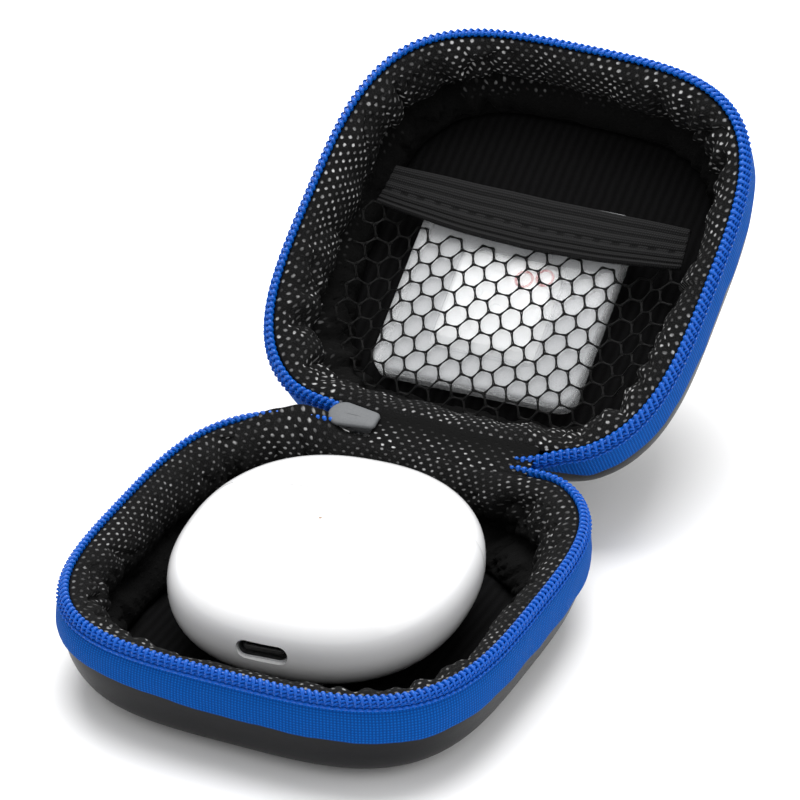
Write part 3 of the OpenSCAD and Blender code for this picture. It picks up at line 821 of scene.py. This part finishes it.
def net_piece():
    """Hexagonal net of doubled threads, as real tubes, clipped to the pocket."""
    size = 2.23
    dx, dy = size * 1.5, size * math.sqrt(3)
    corners = [(size * math.cos(k * math.pi / 3), size * math.sin(k * math.pi / 3)) for k in range(6)]
    edges = set()
    for row in range(-5, 12):
        for col in range(-13, 14):
            cx, cy = col * dx, row * dy + (col % 2) * dy / 2
            ring = [(round(cx + x, 2), round(cy + y, 2)) for x, y in corners]
            edges |= {tuple(sorted(pair)) for pair in zip(ring, ring[1:] + ring[:1])}
    heap = Heap()
    used = {}
    for a, b in sorted(edges):
        pa, pb = pulled(a), pulled(b)
        if not (in_pocket(pa) and in_pocket(pb)):
            continue
        used[a], used[b] = pa, pb
        along = pb - pa
        side = np.array([-along[1], along[0]]) / np.linalg.norm(along)
        f = np.linspace(0, 1, 6)[:, None]
        for sign in (-1, 1):
            x, y = (pa + along * f + side * sign * (0.10 + 0.07 * np.cos(TAU * f))).T
            heap.add(*tube(to_lid(np.column_stack([x, y, net_height(x, y) + 0.05 * sign])), 0.13 * MM, 5))
    for x, y in used.values():
        heap.add(*ball(to_lid([x, y, net_height(x, y)]), np.eye(3) * 0.2 * MM, 6, 4))
    return heap.make("hexagonal_net", NET)


band = tell(band_piece(), "lid", "pocket_band")
tell(net_piece(), "lid", "pocket_net")

# ---- fabric hinge ----


def fold_surface(name, ends, base_path, mat, thickness, seed=3):
    """A strip across the fold: its section goes from the lower half to the lid, mirrored about the fold."""
    rows = 48
    base = np.array([(0.0, y, z) for y, z in base_path])
    line = spline(np.vstack([to_base(base)[:, 1:], to_lid(base)[::-1, 1:]]) / MM, 7)
    x = np.linspace(*ends, rows)[:, None]
    tangent = np.gradient(line, axis=0)
    normal = tangent[:, ::-1] * [-1, 1] / np.linalg.norm(tangent, axis=1)[:, None]
    share = np.linspace(-1, 1, len(line))
    wave = 0.16 * noise(x * 0.35, share * 2.0, seed) * (1 - share ** 2)
    both = np.concatenate([line + normal * (thickness + wave)[..., None],
                           (line + normal * wave[..., None])[:, ::-1]], 1)
    count = both.shape[1]
    pts = np.dstack([np.broadcast_to(x, (rows, count)), both])
    run = arc_length(line)
    faces = grid_faces(rows, count, close_cols=True) + caps(rows, count)
    return make(name, pts * MM, faces, mat, grid_uv(x[:, 0], np.concatenate([run, run[::-1]])))


def bend_over_fold(obj):
    """Bakes the strip's transform into its mesh; the strip's bend between the halves, centred on the fold
    line, already lies in its section.
    """
    start, end = to_fold([[0, -2.6, 0], [0, 2.6, 0]])
    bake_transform(obj)


outer_strip = fold_surface(
    "hinge_outer_cloth", (-10.6, HINGE_HALF),
    [(38.55, -8.6), (38.7, -6.6), (38.8, -4.9), (38.95, -3.4)], CLOTH, 0.3)
tell(outer_strip, node="hinge_fabric")
bend_over_fold(outer_strip)

inner_strip = fold_surface(
    "hinge_inner_lining", (-9.6, 20.0),
    [(33.6, -4.4), (34.8, -3.1), (36.2, -2.1), (37.6, -1.5)], FOLD_KNIT, 0.35, seed=8)
tell(inner_strip, node="hinge_lining")
bend_over_fold(inner_strip)

# ---- zip slider and pull ----

slider_low, slider_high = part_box("slider_body")
SLIDER_X = (slider_low.x + slider_high.x) / 2 / MM
SLIDER_L = (slider_high.x - slider_low.x) / MM
SLIDER_DROP = 1.2
EYE_DROP = 2.7


def slider_outline(grow=0.0, count=28):
    """Plate outline: round and wide on the left, narrower and square on the right."""
    wide, narrow, half_l = 2.6 + grow, 1.85 + grow, SLIDER_L / 2 + grow
    pts = []
    for k in range(count):
        a = math.pi / 2 + math.pi * k / (count - 1)
        pts.append((-half_l + wide + wide * math.cos(a), wide * math.sin(a)))
    pts += [(half_l - 0.9, -narrow), (half_l - 0.4, -narrow + 0.15), (half_l, -narrow + 0.7),
            (half_l, narrow - 0.7), (half_l - 0.4, narrow - 0.15), (half_l - 0.9, narrow)]
    return np.array(pts)


def plate(heap, outline, z0, z1, crown=0.0):
    """A closed plate between two heights; its top may be crowned."""
    rings = ((1.0, z0), (1.0, z1 - 0.25), (0.96, z1 - 0.06), (0.88, z1 + crown * 0.4),
             (0.5, z1 + crown * 0.9))
    n, last = len(outline), (len(rings) - 1) * len(outline)
    pts = [np.column_stack([outline * scale, np.full(n, z)]) for scale, z in rings]
    verts = np.concatenate(pts + [[(0, 0, z1 + crown), (0, 0, z0)]])
    faces = grid_faces(len(rings), n, close_cols=True)
    faces += [(last + k, last + (k + 1) % n, last + n) for k in range(n)]
    faces += [((k + 1) % n, k, last + n + 1) for k in range(n)]
    heap.add(verts, faces)


def slider_piece():
    """Upper and lower plate joined by a post, with the pull's eye underneath and a low ridge on top."""
    heap = Heap()
    plate(heap, slider_outline(), 0.9, 1.55, 0.15)
    plate(heap, slider_outline() * [0.8, 0.33], -1.75, -0.95)
    heap.add(*tube([(-2.6, 0, z) for z in (-1.0, 0.0, 1.0)], 0.72, 16))
    eye = circle(0, 0, 0, 1.05, 24)[:, [0, 2, 1]] + [0, 0, -EYE_DROP]
    heap.add(*tube(eye, 0.38, 8, closed=True))
    heap.add(*tube([(x, 0.0, 1.62 - 0.04 * abs(x)) for x in np.linspace(-3.4, 2.6, 9)], 0.16, 8))
    return heap.make("zip_slider", SLIDER, to_fold, (SLIDER_X, 0, -SLIDER_DROP))


def pull_piece():
    """The pull: a wire loop through the slider's eye and a flat blade."""
    heap = Heap()
    loop = [(0.0, 0.0, 0.0), (0.0, 0.95, -0.3), (0.0, 0.95, -3.4), (0.0, 0.0, -4.0), (0.0, -0.95, -3.4),
            (0.0, -0.95, -0.3)]
    heap.add(*tube(spline(loop, 5, closed=True), 0.36, 8, closed=True))
    blade = spline([(-1.2, -3.5), (-2.1, -4.4), (-2.2, -8.4), (-1.4, -9.8), (0, -10.0), (1.4, -9.8),
                    (2.2, -8.4), (2.1, -4.4), (1.2, -3.5)], 4)
    front = np.column_stack([blade[:, 0], np.full(len(blade), 0.7), blade[:, 1]])
    raised = front * [0.8, 1, 1] + [0, 0.25, 0]
    n = len(blade)
    rings = np.concatenate([raised, front, front * [1, -1, 1], raised * [1, -1, 1]])
    heap.add(rings, grid_faces(4, n, close_cols=True) + caps(4, n))
    return heap.make("zip_pull", SLIDER, to_fold, (SLIDER_X, 0, -EYE_DROP - SLIDER_DROP))


tell(slider_piece(), "slider", "slider_body")
tell(pull_piece(), "pull", "pull_tab")


def tack_piece():
    """The sewn stop where the two tapes meet, a short wedge of tape."""
    wedge = ((-1.1, 0.25), (-0.7, 0.5), (0.0, 0.62), (0.7, 0.5), (1.2, 0.2))
    rings = np.concatenate([circle(0, 0, x, r, 12)[:, [2, 0, 1]] * [1, 1, 0.8] for x, r in wedge])
    faces = grid_faces(len(wedge), 12, close_cols=True) + caps(len(wedge), 12)
    return make("zip_end_stop", to_fold(rings + [18.0, 0, -1.6]), faces, TAPE, rings[:, :2])


tell(tack_piece(), "fold", "zip_end_tack")

# ---- clear accessory box ----

BOX_CENTER = np.array([-1.0, 5.0, -15.0])
INSERT_AT = (-0.9, 1.8)
BOX_W, BOX_L, BOX_T = 38.0, 38.2, 4.4
BOX_SPLIT = 2.0
BOX_TURN = math.radians(-1.2)


def in_box(p):
    """From the box's own centre and floor to the row frame."""
    p = np.asarray(p, float)
    return to_lid(np.stack([*turned(p[..., 0], p[..., 1], BOX_TURN), p[..., 2]], -1) + BOX_CENTER)


def rounded_outline(w, l, r, per=8):
    pts = []
    for sx, sy, a0 in ((1, 1, 0), (-1, 1, 90), (-1, -1, 180), (1, -1, 270)):
        for k in range(per + 1):
            a = math.radians(a0 + 90 * k / per)
            pts.append((sx * (w / 2 - r) + r * math.cos(a), sy * (l / 2 - r) + r * math.sin(a)))
    return np.array(pts)


def lofted(rings):
    """Points and faces of a stack of (outline, z) rings."""
    n = len(rings[0][0])
    verts = np.concatenate([np.column_stack([o, np.full(n, z)]) for o, z in rings])
    return verts, grid_faces(len(rings), n, close_cols=True) + caps(len(rings), n)


def box_ring(inset, z, r):
    return rounded_outline(BOX_W - 2 * inset, BOX_L - 2 * inset, r), z


def tray_piece(name, z0, z1, floor, flip):
    """A shallow box with rounded outer edges, open on one side."""
    wall, top = 1.0, z1 - z0
    verts, faces = lofted([
        box_ring(0.55, 0, 2.5), box_ring(0.15, 0.16, 2.9), box_ring(0, 0.55, 3.0),
        box_ring(0, top - 0.1, 3.0), box_ring(0.12, top, 2.9), box_ring(wall - 0.1, top, 2.1),
        box_ring(wall, top - 0.1, 2.0), box_ring(wall, floor + 0.3, 2.0), box_ring(wall + 0.3, floor, 1.8)])
    if flip:
        verts = verts * [1, 1, -1] + [0, 0, top]
        faces = [f[::-1] for f in faces]
    return make(name, in_box(verts + [0, 0, z0]), faces, CLEAR)


def add_rings(heap, centers, z, r, wire, count):
    """Adds level wire rings to a heap."""
    for x, y in centers:
        heap.add(*tube(circle(x, y, z, r, count), wire, 6, closed=True))
    return heap


def insert_piece():
    """White square block with sloped sides and a few shallow raised rings."""
    heap = Heap()
    heap.add(*lofted([(rounded_outline(side, side, r), z) for side, r, z in (
        (19.5, 1.2, 0.0), (19.3, 1.3, 0.15), (17.3, 1.4, 1.65), (16.9, 1.3, 1.78))]))
    add_rings(heap, ((-4.2, 3.2), (-4.2, -1.0), (0.4, 1.6), (-1.6, 5.2), (3.4, 4.4)), 1.78, 1.2, 0.12, 20)
    return heap.make("white_insert_block", MATTE_WHITE, in_box, (*INSERT_AT, 1.62))


def flange_piece():
    """The insert's flat frosted flange, which fills the clear tray, and a darker ring at the block's foot as
    a painted contact shadow.
    """
    w, l = BOX_W - 2.3, BOX_L - 2.3
    edge, top = rounded_outline(w, l, 1.8), rounded_outline(w - 0.2, l - 0.2, 1.7)
    heap = Heap()
    heap.add(*lofted([(edge, 1.02), (edge, 1.52), (top, 1.62)]))
    # painted contact shadow: a thin darker ring round the white block's foot
    foot = rounded_outline(20.1, 20.1, 1.5) + INSERT_AT
    heap.add(*tube(np.column_stack([foot, np.full(len(foot), 1.66)]), 0.28, 8, closed=True))
    return heap.make("frosted_insert_flange", FROSTED, in_box)


def red_mark_piece():
    """Two small plain red rings printed on the insert."""
    heap = add_rings(Heap(), ((2.6, -3.4), (6.2, -4.4)), 3.41, 1.5, 0.24, 24)
    return heap.make("red_ring_mark", RED, in_box)


tell(tray_piece("clear_box_tray", 0.0, BOX_T - BOX_SPLIT, 1.0, False), "accessory_box",
     "accessory_box_base")
tell(tray_piece("clear_box_cover", BOX_T - BOX_SPLIT, BOX_T, 0.7, True), "accessory_box",
     "accessory_box_cover")
tell(insert_piece(), "accessory_box", "accessory_insert")
tell(red_mark_piece(), "accessory_box")
tell(flange_piece(), "accessory_box")

# ---- charging case ----

CASE_A, CASE_B, CASE_C = 25.5, 27.3, 11.4
PLAN_N, SIDE_N, RING_N = 2.3, 2.5, 2.4
CASE_WALL = 1.6
RING_COUNT = 160


def case_half_sizes(y, inset=0.0):
    """Half width and half height of the charging case's section at y, moved in by inset."""
    share = min(abs(y) / (CASE_B - inset), 1)
    return ((CASE_A - inset) * (1 - share ** PLAN_N) ** (1 / PLAN_N),
            (CASE_C - inset) * (1 - share ** SIDE_N) ** (1 / SIDE_N))


def case_ring(y, inset=0.0):
    """One section of the charging case across its length."""
    w, h = case_half_sizes(y, inset)
    t = full_turn(RING_COUNT)
    r = super_r(t, RING_N)
    return np.column_stack([w * r * np.cos(t), np.full(RING_COUNT, y), h * r * np.sin(t)])


def case_top(x, y):
    """Height of the charging case's upper surface above its middle."""
    w, h = case_half_sizes(y)
    return h * (1 - (abs(x) / w) ** RING_N) ** (1 / RING_N)


def case_cup(name, y0, sign):
    """One moulding of the charging case, from its closed end to a rounded lip at its seam and back inside."""
    outer = np.sin(math.pi / 2 * (1 - np.arange(44) / 43))
    rings = [case_ring(y0 + (sign * (CASE_B - 0.004) - y0) * f) for f in outer]
    lip = 0.18
    for a in math.pi / 2 * np.arange(1, 5) / 4:
        rings.append(case_ring(y0, lip * (1 - math.cos(a))) - [0, sign * lip * math.sin(a) * 0.4, 0])
    inner = np.sin(math.pi / 2 * np.arange(24) / 23)
    rings += [case_ring(y0 + (sign * (CASE_B - CASE_WALL - 0.01) - y0) * f, CASE_WALL) for f in inner]
    faces = grid_faces(len(rings), RING_COUNT, close_cols=True, flip=sign < 0)
    faces += caps(len(rings), RING_COUNT, flip=sign < 0)
    return make(name, to_case(np.concatenate(rings)), faces, WHITE)


def cut(obj, verts, faces):
    """Cuts a closed solid, given in the charging case's frame, out of a piece."""
    tool = make("cutter", to_case(verts), faces, WHITE)
    mod = obj.modifiers.new("cut", "BOOLEAN")
    mod.operation = "DIFFERENCE"
    mod.solver = "EXACT"
    mod.object = tool
    bpy.context.view_layer.update()
    done = bpy.data.meshes.new_from_object(obj.evaluated_get(bpy.context.evaluated_depsgraph_get()))
    obj.modifiers.clear()
    obj.data = done
    bpy.data.objects.remove(tool)
    done.polygons.foreach_set("use_smooth", [True] * len(done.polygons))
    done.set_sharp_from_angle(angle=math.radians(32))


def block(x0, x1, y0, y1, z0, z1):
    v = [(x, y, z) for z in (z0, z1) for y in (y0, y1) for x in (x0, x1)]
    f = [(0, 2, 3, 1), (4, 5, 7, 6), (0, 1, 5, 4), (2, 6, 7, 3), (0, 4, 6, 2), (1, 3, 7, 5)]
    return v, f


def slot_solid(w, h, y0, y1, count=16):
    """A stadium-shaped bar along Y."""
    r = h / 2
    a = np.radians(-90 + 180 * np.arange(count + 1) / count)
    side = np.column_stack([w / 2 - r + r * np.cos(a), r * np.sin(a)])
    x, z = np.vstack([side, -side]).T
    n = len(x)
    verts = np.concatenate([np.column_stack([x + USB_X, np.full(n, y), z]) for y in (y0, y1)])
    return verts, grid_faces(2, n, close_cols=True, flip=True) + caps(2, n, flip=True)


HINGE_GAP = 10.8
PIN_CLEARANCE = 2.52


def pin_drum(count=48):
    """A bar round the case's hinge pin, which clears the lid's swing."""
    ring = circle(SEAM_Y, PIN_Z, 0, PIN_CLEARANCE, count)[:, :2]
    verts = np.concatenate([np.column_stack([np.full(count, x), ring]) for x in (-HINGE_GAP, HINGE_GAP)])
    return verts, grid_faces(2, count, close_cols=True) + caps(2, count)


def hinge_cover_piece():
    """Thin plate that closes the hinge gap flush with the top of the case."""
    cols, rows = 60, 12
    reach = PIN_CLEARANCE - 0.03
    top = np.zeros((cols, rows, 3))
    for i, x in enumerate(np.linspace(0.01 - HINGE_GAP, HINGE_GAP - 0.01, cols)):
        back = SEAM_Y + math.sqrt(reach ** 2 - (case_top(x, SEAM_Y + 2.2) - PIN_Z) ** 2)
        for j, y in enumerate(np.linspace(SEAM_Y - 2.47, back, rows)):
            top[i, j] = x, y, case_top(x, y) - 0.004
    n = cols * rows
    faces = grid_faces(cols, rows, flip=True)
    faces += [tuple(i + n for i in reversed(f)) for f in faces]
    index = np.arange(n).reshape(cols, rows)
    border = np.concatenate([index[:, 0], index[-1, 1:], index[-2::-1, -1], index[0, -2:0:-1]]).tolist()
    faces += [(a, b, b + n, a + n) for a, b in zip(border, border[1:] + border[:1])]
    return make("case_hinge_cover", to_case([top, top - [0, 0, 0.5]]), faces, WHITE)


def light_piece():
    """The small status light's lens, just proud of the top."""
    center = to_case([0.0, -2.6, case_top(0.0, -2.6) - 0.06])
    return make("status_light_lens", *ball(center, np.diag([0.34, 0.34, 0.12]) * MM, 18, 8), GUIDE)


def socket_piece():
    """The charging socket's dark inside and centre tongue."""
    heap = Heap()
    heap.add(*slot_solid(8.3, 2.56, -25.3, -22.7))
    heap.add(*slot_solid(6.6, 0.7, -26.2, -25.2))
    return heap.make("charging_socket_core", PORT_DARK, to_case)


case_body = case_cup("charging_case_body", SEAM_Y - 0.03, -1)
cut(case_body, *slot_solid(9.1, 3.42, -28.6, -22.3))
cut(case_body, *block(-HINGE_GAP, HINGE_GAP, SEAM_Y - 2.6, SEAM_Y + 1, 8.4, 12.4))
case_lid = case_cup("charging_case_lid_shell", SEAM_Y + 0.03, 1)
cut(case_lid, *pin_drum())
tell(case_body, "charging_case", "case_body_shell")
tell(case_lid, "charging_case_lid", "case_lid_shell")
tell(hinge_cover_piece(), "charging_case")
tell(light_piece(), "charging_case")
tell(socket_piece(), "charging_case")

# ---- CAD nodes that stay, with their materials ----

KEPT = (
    (MATTE_WHITE, ("case_lid_liner", "earbud_cradle", "case_hinge_block", "lid_hinge_arms")),
    (WHITE, ("left_earbud_shell", "right_earbud_shell")),
    (TIP, ("left_ear_tip", "right_ear_tip")),
    (STEEL, ("case_hinge_pin", "usb_socket", "left_cell", "right_cell")),
    (MAGNET, ("body_magnets", "lid_magnets")),
    (GOLD, ("charging_pins", "left_driver", "right_driver")),
    (WRAP, ("case_battery",)), (BOARD, ("case_circuit_board",)), (GUIDE, ("status_light",)),
)
for mat, cad_nodes in KEPT:
    for cad_node in cad_nodes:
        materials = frame["nodes"][cad_node].data.materials
        materials.clear()
        materials.append(mat)

# ---- stage: floor, light, camera ----


def studio():
    floor = make("studio_floor", [(-3, -3, -0.0002), (3, -3, -0.0002), (3, 3, -0.0002), (-3, 3, -0.0002)],
                 [(0, 1, 2, 3)], floor_material())
    world = bpy.data.worlds.new("studio_world")
    bpy.context.scene.world = world
    world.use_nodes = True
    world.node_tree.nodes["Background"].inputs["Color"].default_value = (1.0, 1.0, 1.0, 1.0)
    world.node_tree.nodes["Background"].inputs["Strength"].default_value = 0.80
    for name, place, aim, size, power in (
        ("key_light", (-0.12, 0.30, 0.88), (0, 0.03, 0.02), 0.8, 12.0),
        ("front_fill", (-0.55, -0.65, 0.5), (0, 0.0, 0.02), 0.6, 0.2),
        ("side_fill", (0.75, 0.0, 0.4), (0, 0.0, 0.02), 0.6, 1.3),
    ):
        data = bpy.data.lights.new(name, "AREA")
        data.energy = power
        data.size = size
        obj = bpy.data.objects.new(name, data)
        bpy.context.scene.collection.objects.link(obj)
        obj.location = place
        way = np.array(place, float) - np.array(aim, float)
        obj.rotation_euler = (math.atan2(math.hypot(way[0], way[1]), way[2]), 0, math.atan2(way[0], -way[1]))


def camera():
    """A long lens at the photograph's angle: 25 degrees to the right of the front and 31 degrees up."""
    azimuth, elevation, roll = math.radians(25.43), math.radians(31.40), math.radians(-0.62)
    target = np.array([-0.00859, 0.04716, RIM_H * MM])
    distance = 1.0062
    back = np.array([math.sin(azimuth) * math.cos(elevation), -math.cos(azimuth) * math.cos(elevation),
                     math.sin(elevation)])
    level = np.array([math.cos(azimuth), math.sin(azimuth), 0.0])
    right, up = turned(level, np.cross(back, level), -roll)
    data = bpy.data.cameras.new("camera")
    data.lens = 263.18
    data.sensor_width = 36.0
    data.clip_start = 0.05
    obj = bpy.data.objects.new("camera", data)
    bpy.context.scene.collection.objects.link(obj)
    columns = np.column_stack([right, up, back, target + back * distance])
    obj.matrix_world = Matrix(np.vstack([columns, [0, 0, 0, 1]]).tolist())
    bpy.context.scene.camera = obj


studio()
camera()
bpy.context.scene.view_settings.view_transform = "Standard"
